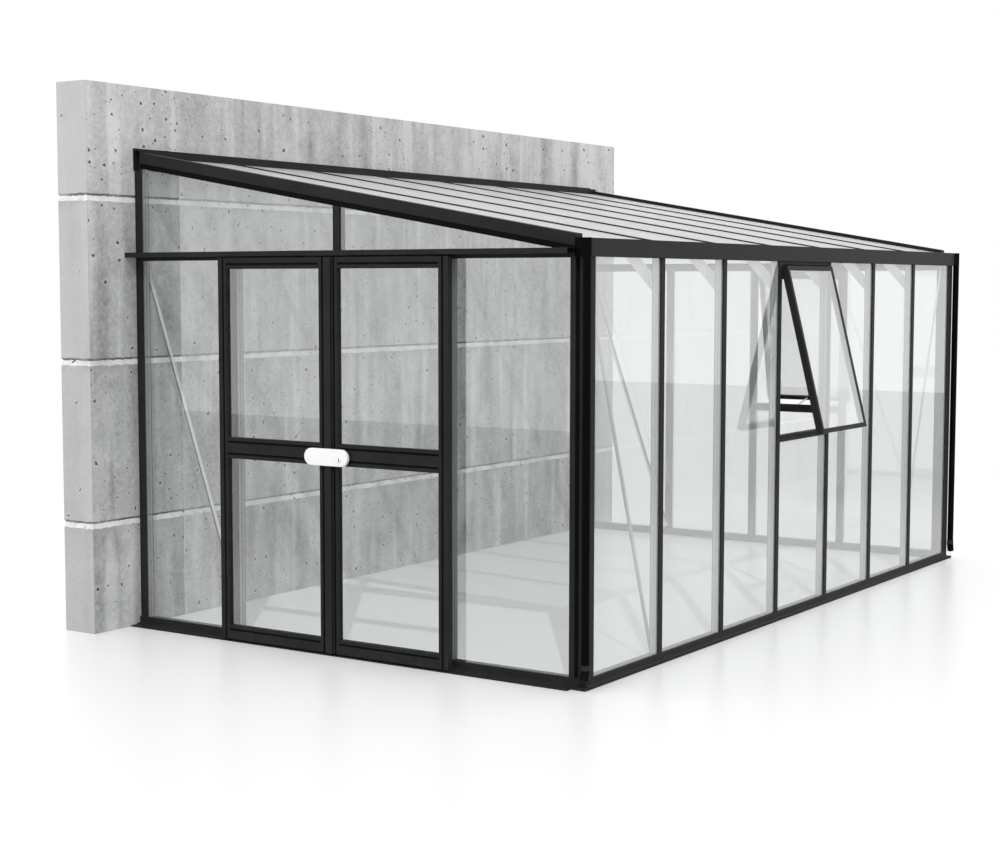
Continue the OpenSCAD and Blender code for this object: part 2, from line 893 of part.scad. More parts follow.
module window_stays() {
    color("#9a9c9d") on_window_sides() {
        stay(window_bays[0], sash_top, front_angle);
        stay(window_bays[1], far_sash_top, far_angle);
    }
}

// Sliding doors

left_leaf = meeting + leaf_gap / 2;
right_leaf = meeting - leaf_gap / 2 - leaf_w;

// Outline of a stile from its outer edge: face, groove, and bead with the glass groove
module stile_outline(face) {
    wide = face + rebate_w + bead_w;
    difference() {
        translate([0, -leaf_out]) square([wide, leaf_t]);
        translate([face, -leaf_out - overlap]) square([rebate_w, rebate_d + overlap]);
        translate([wide - groove_d, -pane_out - glass_clear]) square([groove_d + overlap, groove_w]);
    }
}

module leaf_stiles(a) {
    translate([a, 0, leaf_low]) linear_extrude(leaf_top - leaf_low) stile_outline(face_w);
    translate([a + leaf_w, 0, leaf_low]) mirror([1, 0, 0]) linear_extrude(leaf_top - leaf_low) stile_outline(face_w);
}

// Rail outline drawn in d and z, its outer edge at z = 0 and its bead upwards
module rail_outline(face) {
    mirror([1, -1]) stile_outline(face);
}

module leaf_rails(a) {
    along(a + stile_w, a + leaf_w - stile_w) {
        translate([0, leaf_low]) rail_outline(kick_face);
        translate([0, leaf_top]) mirror([0, 1]) rail_outline(face_w);
        for (way = [0, 1]) translate([0, mid_z]) mirror([0, way]) rail_outline(mid_face / 2);
    }
}

module leaf_panes(a) {
    in = groove_d - edge_clear;
    low = leaf_low + kick_rail_h - in;
    middle = mid_z - mid_rail_h / 2 + in;
    for (z = [[low, middle], [mid_z + mid_rail_h / 2 - in, leaf_top - stile_w + in]])
        translate([a + stile_w - in, -pane_out, z[0]])
            cube([leaf_w - 2 * (stile_w - in), glass_t, z[1] - z[0]]);
}

// Hanger plates on top of a leaf, each with a wheel that runs on the track's inner lip
module leaf_hangers(a) {
    axle_z = track_z + track_t + wheel_clear + wheel_dia / 2;
    for (at = [a + hanger_in, a + leaf_w - hanger_in]) {
        translate([at - hanger_l / 2, -slot_out - hanger_t / 2, leaf_top])
            cube([hanger_l, hanger_t, axle_z + wheel_dia / 4 - leaf_top]);
        translate([at, -slot_out, axle_z]) rotate([-90, 0, 0]) cylinder(d = wheel_dia, h = wheel_w + hanger_t / 2);
    }
}

module left_door_stiles() {
    color(frame_colour) door_gable() leaf_stiles(left_leaf);
}

module left_door_rails() {
    color(frame_colour) door_gable() leaf_rails(left_leaf);
}

module left_door_glass() {
    color("#c9d6d3", 0.35) door_gable() leaf_panes(left_leaf);
}

module left_door_hangers() {
    color("#8d8f90") door_gable() leaf_hangers(left_leaf);
}

module right_door_stiles() {
    color(frame_colour) door_gable() leaf_stiles(right_leaf);
}

module right_door_rails() {
    color(frame_colour) door_gable() leaf_rails(right_leaf);
}

module right_door_glass() {
    color("#c9d6d3", 0.35) door_gable() leaf_panes(right_leaf);
}

module right_door_hangers() {
    color("#8d8f90") door_gable() leaf_hangers(right_leaf);
}

// Strip on the left leaf that covers the gap between the leaves
module meeting_strip() {
    color(frame_colour) door_gable() translate([0, 0, leaf_low]) linear_extrude(leaf_top - leaf_low)
        polygon([[left_leaf, -leaf_out], [meeting + strip_w / 2, -leaf_out], [meeting + strip_w / 2, -strip_face],
            [meeting - strip_w / 2, -strip_face], [meeting - strip_w / 2, strip_t - strip_face],
            [left_leaf, strip_t - strip_face]]);
}

// Lock case across the meeting strip, with a pad on the middle rail of the left leaf
module lock_case() {
    half = lock_l / 2 - lock_r;
    rise = lock_h / 2 - lock_r;
    color("#f2f2f0") door_gable() {
        upright(-strip_face - lock_t, lock_t) translate([meeting, lock_z]) {
            square([lock_l, 2 * rise], center = true);
            square([2 * half, lock_h], center = true);
            for (a = [-half, half])
                for (z = [-rise, rise])
                    translate([a, z]) circle(lock_r, $fn = 64);
        }
        translate([meeting + strip_w / 2 + lock_pad_in, -strip_face, lock_z - lock_pad_h / 2])
            cube([lock_pad_l, strip_face - leaf_out, lock_pad_h]);
    }
}

module lock_knob() {
    color("#e4e4e2") door_gable()
        translate([meeting - lock_l / 2 + knob_in, -strip_face - lock_t - knob_h, lock_z - knob_drop])
            rotate([-90, 0, 0]) cylinder(d = knob_dia, h = knob_h, $fn = 48);
}

placed() concrete_wall();
placed() door_gable_sill();
placed() front_sill();
placed() far_gable_sill();
placed() wall_posts();
placed() corner_posts();
placed() front_posts();
placed() door_posts();
placed() far_gable_posts();
placed() gable_stubs();
placed() door_gable_head_bar();
placed() far_gable_head_bar();
placed() door_track();
placed() gable_rafters();
placed() roof_bars();
placed() wall_plate();
placed() roof_glass();
placed() gutter();
placed() gutter_outlets();
placed() downpipes();
placed() knee_braces();
placed() front_braces();
placed() gable_braces();
placed() front_glass();
placed() door_gable_glass();
placed() far_gable_glass();
placed() door_gable_top_glass();
placed() far_gable_top_glass();
placed() window_transoms();
placed() window_hinge_bars();
placed() window_stiles();
placed() window_rails();
placed() window_glass();
placed() window_stays();
placed() left_door_stiles();
placed() left_door_rails();
placed() left_door_glass();
placed() left_door_hangers();
placed() meeting_strip();
placed() lock_case();
placed() lock_knob();
placed() right_door_stiles();
placed() right_door_rails();
placed() right_door_glass();
placed() right_door_hangers();
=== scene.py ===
"""Looks of a lean-to greenhouse: a dark glazed aluminium frame against a concrete wall."""
import math

import bmesh
import bpy
from mathutils import Matrix, Vector


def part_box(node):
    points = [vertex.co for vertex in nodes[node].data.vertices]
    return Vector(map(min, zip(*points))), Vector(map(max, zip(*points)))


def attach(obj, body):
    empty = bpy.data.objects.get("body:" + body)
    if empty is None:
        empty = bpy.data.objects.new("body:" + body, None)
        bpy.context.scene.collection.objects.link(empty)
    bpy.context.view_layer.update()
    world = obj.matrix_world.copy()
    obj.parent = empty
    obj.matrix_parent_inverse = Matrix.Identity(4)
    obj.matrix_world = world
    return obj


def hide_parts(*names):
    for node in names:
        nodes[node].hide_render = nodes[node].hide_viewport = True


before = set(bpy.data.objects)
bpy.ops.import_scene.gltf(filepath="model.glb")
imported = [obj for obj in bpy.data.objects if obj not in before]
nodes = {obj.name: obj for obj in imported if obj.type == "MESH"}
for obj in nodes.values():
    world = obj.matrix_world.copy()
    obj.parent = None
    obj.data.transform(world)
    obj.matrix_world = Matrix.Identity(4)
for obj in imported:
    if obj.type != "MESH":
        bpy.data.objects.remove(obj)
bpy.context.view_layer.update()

# The wall at the back is fair-faced concrete, cast in four lifts between smooth forms.
# Bleeding water has left pale and dark streaks down each lift, and air has left pores in the skin.
# The lip below each joint of the forms is painted paler, partly its own tone and partly the highlight
# its upward slope catches; the line over it and a band under it are painted darker as shade.
wall_low, wall_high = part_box("concrete_wall")
wall_levels = sorted({round(v.co.z, 4) for v in nodes["concrete_wall"].data.vertices})
first_lip, first_joint = wall_levels[1], wall_levels[2]
lift_height = wall_levels[5] - first_joint
lip_height = first_joint - first_lip
concrete_pale = (0.70, 0.702, 0.705, 1)
concrete_mid = (0.50, 0.502, 0.505, 1)
concrete_dark = (0.30, 0.302, 0.305, 1)
lip_pale_and_highlight_colour = (0.87, 0.87, 0.87, 1)
painted_shade_colour = (0.06, 0.06, 0.06, 1)
line_height = 0.013
shade_band_height = 0.06
ragged_height = 0.005
streak_shift = 3.7
end_skin = 0.004
end_evenness, end_tone = 0.75, 0.45
pore_scale, pore_share, pore_smallest, pore_largest = 9.5, 0.85, 0.0055, 0.0140
pit_scale, pit_share, pit_smallest, pit_largest = 24.0, 0.70, 0.002, 0.0060
relief_depth = 0.004


def new_material(name):
    made = bpy.data.materials.new(name)
    made.use_nodes = True
    made.node_tree.nodes.clear()
    return made, made.node_tree


def add_node(tree, kind, settings=None, **sockets):
    """A node of that kind, its sockets fed by name, or by number as _0 and _1.

    A value that comes from another node is linked, and any other value is set.
    """
    made = tree.nodes.new("ShaderNode" + kind)
    for key, value in (settings or {}).items():
        setattr(made, key, value)
    for key, value in sockets.items():
        name = key.replace("_", " ").strip()
        socket = made.inputs[int(name)] if name.isdigit() else made.inputs[name]
        if isinstance(value, bpy.types.NodeSocket):
            tree.links.new(value, socket)
        else:
            socket.default_value = value
    return made


def calc(tree, operation, a, b=0.0):
    return add_node(tree, "Math", {"operation": operation}, _0=a, _1=b).outputs[0]


def spread(tree, value, low, high, out_low=0.0, out_high=1.0):
    """value from low..high to out_low..out_high, held at both ends."""
    made = add_node(tree, "MapRange", None, Value=value, From_Min=low, From_Max=high,
                    To_Min=out_low, To_Max=out_high)
    return made.outputs["Result"]


def blend_colour(tree, factor, a, b):
    return add_node(tree, "Mix", {"data_type": "RGBA"}, _0=factor, _6=a, _7=b).outputs[2]


def blend_value(tree, factor, a, b):
    return add_node(tree, "Mix", {"data_type": "FLOAT"}, _0=factor, _2=a, _3=b).outputs[0]


def add_vectors(tree, a, b):
    return add_node(tree, "VectorMath", {"operation": "ADD"}, _0=a, _1=b).outputs["Vector"]


def object_point(tree, scale=(1, 1, 1)):
    where = add_node(tree, "TexCoord").outputs["Object"]
    return add_node(tree, "Mapping", None, Vector=where, Scale=scale).outputs["Vector"]


def object_place(tree):
    """The X, Y and Z of a point of the object."""
    where = add_node(tree, "TexCoord").outputs["Object"]
    return add_node(tree, "SeparateXYZ", None, Vector=where).outputs


def noise(tree, scale, detail=4.0, stretch=(1, 1, 1), roughness=0.55, shift=None):
    where = object_point(tree, stretch)
    if shift is not None:
        where = add_vectors(tree, where, shift)
    made = add_node(tree, "TexNoise", None, Vector=where, Scale=scale, Detail=detail, Roughness=roughness)
    return made.outputs["Fac"]


def finish_surface(tree, shader):
    add_node(tree, "OutputMaterial", None, Surface=shader)


def pore_field(tree, where, scale, share, smallest, largest):
    """Round air pores: a share of the cells has one, each of its own size; gives pores and a pale edge round
    each, which is painted highlight.
    """
    cells = add_node(tree, "TexVoronoi", {"feature": "F1", "voronoi_dimensions": "2D"},
                     Vector=where, Scale=scale)
    pick = add_node(tree, "SeparateColor", None, Color=cells.outputs["Color"])
    has_one = calc(tree, "LESS_THAN", pick.outputs[1], share)
    mostly_small = calc(tree, "POWER", pick.outputs[0], 2.0)
    size = spread(tree, mostly_small, 0.0, 1.0, smallest * scale, largest * scale)
    size = calc(tree, "MULTIPLY", has_one, size)
    reach = calc(tree, "DIVIDE", cells.outputs["Distance"], calc(tree, "MAXIMUM", size, 0.0001))
    inside = spread(tree, reach, 0.70, 1.0, 1.0, 0.0)
    around = calc(tree, "SUBTRACT", spread(tree, reach, 1.0, 2.4, 1.0, 0.0), inside)
    return inside, calc(tree, "MULTIPLY", around, has_one)


concrete, tree = new_material("fair_faced_concrete")
place = object_place(tree)
height = place["Z"]
ragged = spread(tree, noise(tree, 26.0, 5.0, (1, 1, 1), 0.7), 0.3, 0.7, -ragged_height, ragged_height)
from_lip = calc(tree, "ADD", calc(tree, "SUBTRACT", height, first_lip), ragged)
lift = calc(tree, "FLOOR", calc(tree, "DIVIDE", from_lip, lift_height))
own_shift = calc(tree, "MULTIPLY", lift, streak_shift)
own_streaks = add_node(tree, "CombineXYZ", None, X=own_shift).outputs["Vector"]

# Streaks differ from lift to lift; the two ends of the wall came off a smoother board
clouds = spread(tree, noise(tree, 1.5, 6.0, (1, 1, 0.7), 0.6), 0.30, 0.70)
streaks = spread(tree, noise(tree, 3.4, 1.5, (1.5, 1.5, 0.13), 0.50, own_streaks), 0.40, 0.60)
pale_runs = spread(tree, noise(tree, 8.0, 1.0, (1.3, 1.3, 0.10), 0.50, own_streaks), 0.56, 0.70)
dark_runs = spread(tree, noise(tree, 6.0, 1.5, (1.4, 1.4, 0.14), 0.50, own_streaks), 0.44, 0.30)
blotches = spread(tree, noise(tree, 8.0, 5.0, (1, 1, 0.8), 0.65), 0.32, 0.68)
speckle = spread(tree, noise(tree, 42.0, 5.0, (1, 1, 0.9), 0.72), 0.30, 0.70)
grain = noise(tree, 210.0, 3.0)
# The wall's tone grows darker towards the bottom and paler towards the top
darker_foot = spread(tree, height, 0.4, 1.6, 0.06, 0.0)
paler_head = spread(tree, height, 2.3, 2.9, 0.0, 0.15)
tone = -0.04
for layer, weight in ((clouds, 0.24), (streaks, 0.20), (blotches, 0.26), (pale_runs, 0.24), (speckle, 0.36),
                      (dark_runs, -0.20), (darker_foot, -1.0), (paler_head, 1.0)):
    tone = calc(tree, "ADD", tone, calc(tree, "MULTIPLY", layer, weight))
from_end = calc(tree, "MINIMUM", calc(tree, "SUBTRACT", place["X"], wall_low.x),
                calc(tree, "SUBTRACT", wall_high.x, place["X"]))
plain_end = calc(tree, "LESS_THAN", from_end, end_skin)
tone = blend_value(tree, calc(tree, "MULTIPLY", plain_end, end_evenness), tone, end_tone)
ramp = add_node(tree, "ValToRGB", None, Fac=tone)
stops = ramp.color_ramp.elements
stops.new(0.5)
for stop, position, shade in zip(stops, (0.10, 0.44, 0.86), (concrete_dark, concrete_mid, concrete_pale)):
    stop.position = position
    stop.color = shade

# Air pores of two sizes lie in the skin, in clusters, their outlines pulled about a little; they are painted
# near-black as the shade inside them, with a pale painted highlight round each
wobble = add_node(tree, "TexNoise", None, Vector=object_point(tree), Scale=85.0, Detail=2.0)
pulled = add_node(tree, "VectorMath", {"operation": "SCALE"}, _0=wobble.outputs["Color"], Scale=0.030)
across = calc(tree, "ADD", place["X"], place["Y"])
upward = calc(tree, "ADD", height, calc(tree, "MULTIPLY", place["Y"], 0.5))
skin = add_node(tree, "CombineXYZ", None, X=across, Y=upward)
where = add_vectors(tree, skin.outputs["Vector"], pulled.outputs["Vector"])
cluster = spread(tree, noise(tree, 2.2, 3.0), 0.34, 0.62, 0.10, 1.0)
cluster = calc(tree, "MULTIPLY", cluster, blend_value(tree, plain_end, 1.0, 0.15))
pores, pore_highlights = pore_field(tree, where, pore_scale, calc(tree, "MULTIPLY", cluster, pore_share),
                              pore_smallest, pore_largest)
pits, pit_highlights = pore_field(tree, where, pit_scale, calc(tree, "MULTIPLY", cluster, pit_share),
                            pit_smallest, pit_largest)
hollows = calc(tree, "MAXIMUM", pores, calc(tree, "MULTIPLY", pits, 0.85))
rim_highlights = calc(tree, "MAXIMUM", pore_highlights, pit_highlights)

# The lip under each joint painted paler, partly as highlight; the ragged line over it and the band below it
# painted darker as shade; all by height
above_lip = calc(tree, "FLOORED_MODULO", from_lip, lift_height)
on_lip = calc(tree, "LESS_THAN", above_lip, lip_height)
on_line = calc(tree, "SUBTRACT", calc(tree, "LESS_THAN", above_lip, lip_height + line_height), on_lip)
under_lip = spread(tree, above_lip, lift_height - shade_band_height, lift_height)
lip_pale_and_highlight_tone = calc(tree, "MULTIPLY", on_lip, spread(tree, noise(tree, 9.0, 5.0), 0.34, 0.60, 0.38, 1.0))
line_shade_tone = calc(tree, "MULTIPLY", on_line, spread(tree, noise(tree, 7.0, 4.0), 0.30, 0.60, 0.25, 0.85))
under_lip_shade_tone = calc(tree, "MULTIPLY", under_lip, spread(tree, noise(tree, 5.0, 4.0), 0.40, 0.62, 0.0, 0.45))
# Painted over the tone: shade in the band under each lip, highlight round the pores, the paler lip, and
# shade on the line over it and in the pores
colour = ramp.outputs["Color"]
for mask, strength, paint in ((under_lip_shade_tone, 1.0, concrete_dark), (rim_highlights, 0.50, concrete_pale),
                              (lip_pale_and_highlight_tone, 0.95, lip_pale_and_highlight_colour), (line_shade_tone, 0.85, painted_shade_colour),
                              (hollows, 0.90, painted_shade_colour)):
    colour = blend_colour(tree, calc(tree, "MULTIPLY", mask, strength), colour, paint)
relief = calc(tree, "SUBTRACT", calc(tree, "MULTIPLY", grain, 0.22), hollows)
relief = calc(tree, "ADD", relief, calc(tree, "MULTIPLY", speckle, 0.15))
bump = add_node(tree, "Bump", None, Strength=0.5, Distance=relief_depth, Height=relief)
rough = spread(tree, tone, 0.2, 0.8, 0.92, 0.76)
shader = add_node(tree, "BsdfPrincipled", None, Base_Color=colour, Roughness=rough,
                  Normal=bump.outputs["Normal"], Specular_IOR_Level=0.2)
finish_surface(tree, shader.outputs["BSDF"])


def dress(name, material):
    """Gives a node of the frame that material in place of its own."""
    slots = nodes[name].data.materials
    slots.clear()
    slots.append(material)


dress("concrete_wall", concrete)

# Sills, posts, rails, rafters and bars are extruded aluminium, powder coated near-black.
# The coat has a fine orange peel, its sharp arrises are slightly rounded, and a little dust
# greys it just above the ground.
coat_colour = (0.0160, 0.0162, 0.0165, 1)
coat_light = (0.0230, 0.0233, 0.0237, 1)
coat_peel, coat_gloss = 0.0004, 0.10
dust_colour = (0.16, 0.15, 0.14, 1)
dust_height, dust_share = 0.16, 0.05
arris_radius = 0.0015
cap_radius = 0.0028
join_distance = 0.00002
flat_limit = math.radians(0.5)
arris_limit = math.radians(40)


def powder_group():
    """Node group: the coat's mottled colour, its roughness and its orange peel."""
    made = bpy.data.node_groups.new("powder_coat", "ShaderNodeTree")
    for label in ("Deep", "Light"):
        made.interface.new_socket(label, in_out="INPUT", socket_type="NodeSocketColor")
    for label, kind in (("Color", "NodeSocketColor"), ("Roughness", "NodeSocketFloat"),
                        ("Height", "NodeSocketFloat")):
        made.interface.new_socket(label, in_out="OUTPUT", socket_type=kind)
    given = made.nodes.new("NodeGroupInput").outputs
    out = made.nodes.new("NodeGroupOutput").inputs
    mottle = spread(made, noise(made, 5.0, 3.0), 0.3, 0.7)
    near_ground = spread(made, object_place(made)["Z"], 0.0, dust_height, 1.0, 0.0)
    dusty = spread(made, noise(made, 28.0, 5.0), 0.42, 0.72, 0.0, dust_share)
    film = calc(made, "MULTIPLY", near_ground, dusty)
    coat = blend_colour(made, mottle, given["Deep"], given["Light"])
    rough = spread(made, mottle, 0.0, 1.0, 0.40, 0.48)
    made.links.new(blend_colour(made, film, coat, dust_colour), out["Color"])
    made.links.new(calc(made, "ADD", rough, calc(made, "MULTIPLY", film, 0.8)), out["Roughness"])
    made.links.new(noise(made, 420.0, 2.0), out["Height"])
    return made


powder = powder_group()


def coated(name, deep, light, peel_depth, specular, paint_over=None):
    """A coated or moulded finish; paint_over may change its colour from place to place."""
    material, tree = new_material(name)
    coat = add_node(tree, "Group", {"node_tree": powder}, Deep=deep, Light=light)
    bump = add_node(tree, "Bump", None, Strength=0.35, Distance=peel_depth, Height=coat.outputs["Height"])
    colour = coat.outputs["Color"]
    if paint_over:
        colour = paint_over(tree, colour)
    shader = add_node(tree, "BsdfPrincipled", None, Base_Color=colour, Roughness=coat.outputs["Roughness"],
                      Normal=bump.outputs["Normal"], Specular_IOR_Level=specular)
    finish_surface(tree, shader.outputs["BSDF"])
    return material


anthracite = coated("anthracite_powder_coat", coat_colour, coat_light, coat_peel, coat_gloss)


def round_arrises(name, radius):
    """Softens a node's sharp edges: its triangles are joined, flat ones dissolved, edges bevelled."""
    modifiers = nodes[name].modifiers
    weld = modifiers.new("join", "WELD")
    weld.merge_threshold = join_distance
    flat = modifiers.new("flatten", "DECIMATE")
    flat.decimate_type = "DISSOLVE"
    flat.angle_limit = flat_limit
    bevel = modifiers.new("arris", "BEVEL")
    bevel.width = radius
    bevel.segments = 2
    bevel.limit_method = "ANGLE"
    bevel.angle_limit = arris_limit
    bevel.harden_normals = False


capped_nodes = ["front_posts", "door_posts", "far_gable_posts", "gable_stubs", "roof_bars"]
frame_nodes = ["door_gable_sill", "front_sill", "far_gable_sill", "wall_posts", "corner_posts",
               "door_gable_head_bar", "far_gable_head_bar", "door_track", "gable_rafters", "wall_plate",
               "gutter", "window_transoms", "window_hinge_bars", "window_stiles", "window_rails",
               "left_door_stiles", "left_door_rails", "right_door_stiles", "right_door_rails",
               "meeting_strip"]
for name in capped_nodes + frame_nodes:
    dress(name, anthracite)
    round_arrises(name, cap_radius if name in capped_nodes else arris_radius)

# The grooves of the door leaves hold black rubber seals, which show as thin dark lines beside the
# coated faces. A sheet of the same black rubber covers the step under each gable rafter, as painted shade in
# that recess.
seal_thickness = 0.0015
groove_depth, groove_width = 0.006, 0.012
stile_face, bead_width, kick_face = 0.030, 0.020, 0.050
end_rail_reach = 0.01
rafter_step, step_tolerance = 0.005, 0.0003
seam = 0.0002
rubber = coated("black_rubber", (0.0012, 0.0012, 0.0012, 1), (0.002, 0.002, 0.002, 1), 0.0002, 0.08)


def corners_of(points):
    """Lowest and highest corners of the box round some points."""
    low = Vector([min(point[axis] for point in points) for axis in range(3)])
    high = Vector([max(point[axis] for point in points) for axis in range(3)])
    return low, high


def solids(name):
    """The corner points of each separate solid of a node, in order of their places."""
    copy = bmesh.new()
    copy.from_mesh(nodes[name].data)
    bmesh.ops.remove_doubles(copy, verts=copy.verts, dist=join_distance)
    left = set(copy.verts)
    found = []
    while left:
        group = [left.pop()]
        for corner in group:
            near = [edge.other_vert(corner) for edge in corner.link_edges]
            fresh = [other for other in near if other in left]
            left.difference_update(fresh)
            group.extend(fresh)
        found.append([corner.co.copy() for corner in group])
    copy.free()
    return sorted(found, key=lambda group: [round(value, 4) for value in corners_of(group)[0]])


def add_block(shape, low, high):
    """A box between two corners."""
    size = Vector(high) - Vector(low)
    place = Matrix.Translation((Vector(low) + Vector(high)) / 2) @ Matrix.Diagonal((*size, 1))
    bmesh.ops.create_cube(shape, size=1.0, matrix=place)


def add_stud(shape, foot, axis, radius, height, sides, taper=1.0):
    """A round or many-sided stud that stands on foot and rises along axis."""
    turn = axis.to_track_quat("Z", "Y").to_matrix().to_4x4()
    place = Matrix.Translation(foot + axis * height / 2) @ turn
    bmesh.ops.create_cone(shape, cap_ends=True, segments=sides, radius1=radius, radius2=radius * taper,
                          depth=height, matrix=place)


def add_prism(shape, outline, along):
    """A prism: an outline of points, carried along a vector."""
    face = shape.faces.new([shape.verts.new(point) for point in outline])
    grown = bmesh.ops.extrude_face_region(shape, geom=[face])
    moved = [item for item in grown["geom"] if isinstance(item, bmesh.types.BMVert)]
    bmesh.ops.translate(shape, vec=along, verts=moved)


def add_object(name, data):
    made = bpy.data.objects.new(name, data)
    bpy.context.scene.collection.objects.link(made)
    return made


def make_piece(name, shape, materials, body):
    """Turns a bmesh into a piece that rides on a body and takes a finish from a slot."""
    mesh = bpy.data.meshes.new(name)
    bmesh.ops.recalc_face_normals(shape, faces=shape.faces)
    shape.to_mesh(mesh)
    shape.free()
    for material in materials:
        mesh.materials.append(material)
    piece = add_object(name, mesh)
    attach(piece, body)
    return piece


for leaf in ("left_door", "right_door"):
    shape = bmesh.new()
    near_stile, far_stile = [corners_of(group) for group in solids(leaf + "_stiles")]
    x1 = near_stile[0].x + groove_depth + seam
    x0 = x1 - seal_thickness
    for y0, (low, high) in ((near_stile[0].y + stile_face, near_stile),
                            (far_stile[1].y - stile_face - groove_width, far_stile)):
        add_block(shape, (x0, y0, low.z), (x1, y0 + groove_width, high.z))
    for low, high in (corners_of(group) for group in solids(leaf + "_rails")):
        grooves = [low.z + bead_width, high.z - bead_width - groove_width]
        if low.z < near_stile[0].z + end_rail_reach:
            grooves = [low.z + kick_face]
        elif high.z > near_stile[1].z - end_rail_reach:
            grooves = [high.z - stile_face - groove_width]
        for z0 in grooves:
            add_block(shape, (x0, low.y, z0), (x1, high.y, z0 + groove_width))
    make_piece(leaf + "_seals", shape, [rubber], leaf)

# The black sheet on the step of each gable rafter is painted shade
shape = bmesh.new()
for group, out in zip(solids("gable_rafters"), (-1, 1)):
    low, high = corners_of(group)
    step_x = low.x + rafter_step if out < 0 else high.x - rafter_step
    ring = [point for point in group if abs(point.x - step_x) < step_tolerance]
    middle = sum(ring, Vector()) / len(ring)
    ring.sort(key=lambda point: math.atan2(point.z - middle.z, point.y - middle.y))
    outward = Vector((out, 0, 0))
    add_prism(shape, [point - outward * seam for point in ring], outward * (2 * seal_thickness + seam))
make_piece("rafter_step_shade", shape, [rubber], "building")

# Mastic closes the joint between the wall plate and the concrete, in a three-cornered bead that
# runs the length of the plate.
bead_size = 0.012
low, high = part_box("wall_plate")
profile = ((-bead_size, -seam), (seam, -seam), (seam, bead_size))
shape = bmesh.new()
add_prism(shape, [(low.x, high.y + y, high.z + z) for y, z in profile], (high.x - low.x, 0, 0))
make_piece("wall_mastic", shape, [rubber], "building")

# Pale grey bands are painted on the posts behind the panes, and on the sides of the doorway that the leaves
# close, as the sheen those faces catch. A duller band lies between two pale ones, and the back edge of each
# post keeps its coat.
sheen_grey = (0.30, 0.30, 0.305, 1)
sheen_end = 0.88
band_inner, band_outer, band_share = 0.10, 0.20, 0.6
post_edge = 0.004
gable_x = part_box("corner_posts")[0].x


def between(tree, value, low, high):
    """1 where value lies between low and high, and 0 elsewhere."""
    above = calc(tree, "GREATER_THAN", value, low)
    return calc(tree, "MULTIPLY", above, calc(tree, "LESS_THAN", value, high))


def painted_reveal_sheen(axis, start, end, doorway=None):
    """Paints the pale sheen bands on the part of a post between two depths."""
    def paint(tree, colour):
        place = object_place(tree)
        first = start
        if doorway:
            in_doorway = between(tree, place["Y"], doorway[0] - seam, doorway[1] + seam)
            first = blend_value(tree, in_doorway, start, gable_x + post_edge)
        reach = calc(tree, "SUBTRACT", end, first)
        share = calc(tree, "DIVIDE", calc(tree, "SUBTRACT", place[axis], first), reach)
        sheen_mask = between(tree, share, 0.0, sheen_end)
        from_middle = calc(tree, "ABSOLUTE", calc(tree, "SUBTRACT", share, sheen_end / 2))
        pale = spread(tree, from_middle, band_inner, band_outer, band_share, 1.0)
        return blend_colour(tree, calc(tree, "MULTIPLY", sheen_mask, pale), colour, sheen_grey)
    return paint


right_post, left_post = [corners_of(group) for group in solids("door_posts")]
gable_glass_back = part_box("door_gable_glass")[1].x
posts_with_sheen = (("front_posts", "Y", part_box("front_glass")[1].y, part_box("front_posts")[1].y, None),
               ("wall_posts", "X", gable_glass_back, left_post[1].x, None),
               ("door_posts", "X", gable_glass_back, left_post[1].x, (right_post[1].y, left_post[0].y)))
# Each of these posts gets the painted sheen on its sides
for name, axis, start, end, doorway in posts_with_sheen:
    dress(name, coated("sheen_painted_" + name, coat_colour, coat_light, coat_peel, coat_gloss,
                       painted_reveal_sheen(axis, start, end, doorway)))

# The panes are 4 mm toughened float glass, faintly green, held in the grooves of the bars.
# They mirror the room about them, and let lamplight through to what stands inside. The long side's
# panes have a stronger mirror coat, and the roof's are satin on top and hide what lies under them.
pane_tint = (0.94, 0.96, 0.957, 1)
pane_shade = (0.925, 0.935, 0.932, 1)
roof_tint = (0.62, 0.635, 0.632, 1)
roof_shade = (0.76, 0.77, 0.77, 1)


def mix_shaders(tree, factor, first, second):
    return add_node(tree, "MixShader", None, _0=factor, _1=first, _2=second).outputs["Shader"]


def pane_material(name, tint, shade, index, smooth, dull, clear):
    """Glass that lets lamp rays through unbent, with a thin uneven film that dulls it here and there."""
    material, tree = new_material(name)
    film = spread(tree, noise(tree, 2.4, 4.0), 0.45, 0.75, smooth, dull)
    pane = add_node(tree, "BsdfPrincipled", None, Base_Color=tint, Roughness=film, IOR=index,
                    Transmission_Weight=clear)
    path = add_node(tree, "LightPath").outputs
    lamp_ray = calc(tree, "MAXIMUM", path["Is Shadow Ray"], path["Is Diffuse Ray"])
    through = add_node(tree, "BsdfTransparent", None, Color=shade)
    finish_surface(tree, mix_shaders(tree, lamp_ray, pane.outputs["BSDF"], through.outputs["BSDF"]))
    return material


clear_glass = pane_material("clear_float_glass", pane_tint, pane_shade, index=2.2, smooth=0.0, dull=0.03,
                            clear=1.0)
sun_glass = pane_material("sun_coated_glass", pane_tint, pane_shade, index=2.45, smooth=0.0, dull=0.03,
                          clear=0.86)
satin_glass = pane_material("satin_roof_glass", roof_tint, roof_shade, index=1.5, smooth=0.30, dull=0.42,
                            clear=0.45)
for name in ("door_gable_glass", "far_gable_glass", "door_gable_top_glass", "far_gable_top_glass",
             "left_door_glass", "right_door_glass"):
    dress(name, clear_glass)
for name in ("front_glass", "window_glass"):
    dress(name, sun_glass)
dress("roof_glass", satin_glass)

# Downpipes and the gutter's outlets are moulded black plastic, smoother than the coated metal.
# The band round the collar over each spout is painted grey, as the highlight on its rim.
collar_low, collar_high = 0.106, 0.132
collar_highlight_grey = (0.030, 0.030, 0.031, 1)


def collar_highlight_band(tree, colour):
    """Paints the collar's height grey, as highlight."""
    on_collar = between(tree, object_place(tree)["Z"], collar_low, collar_high)
    return blend_colour(tree, on_collar, colour, collar_highlight_grey)


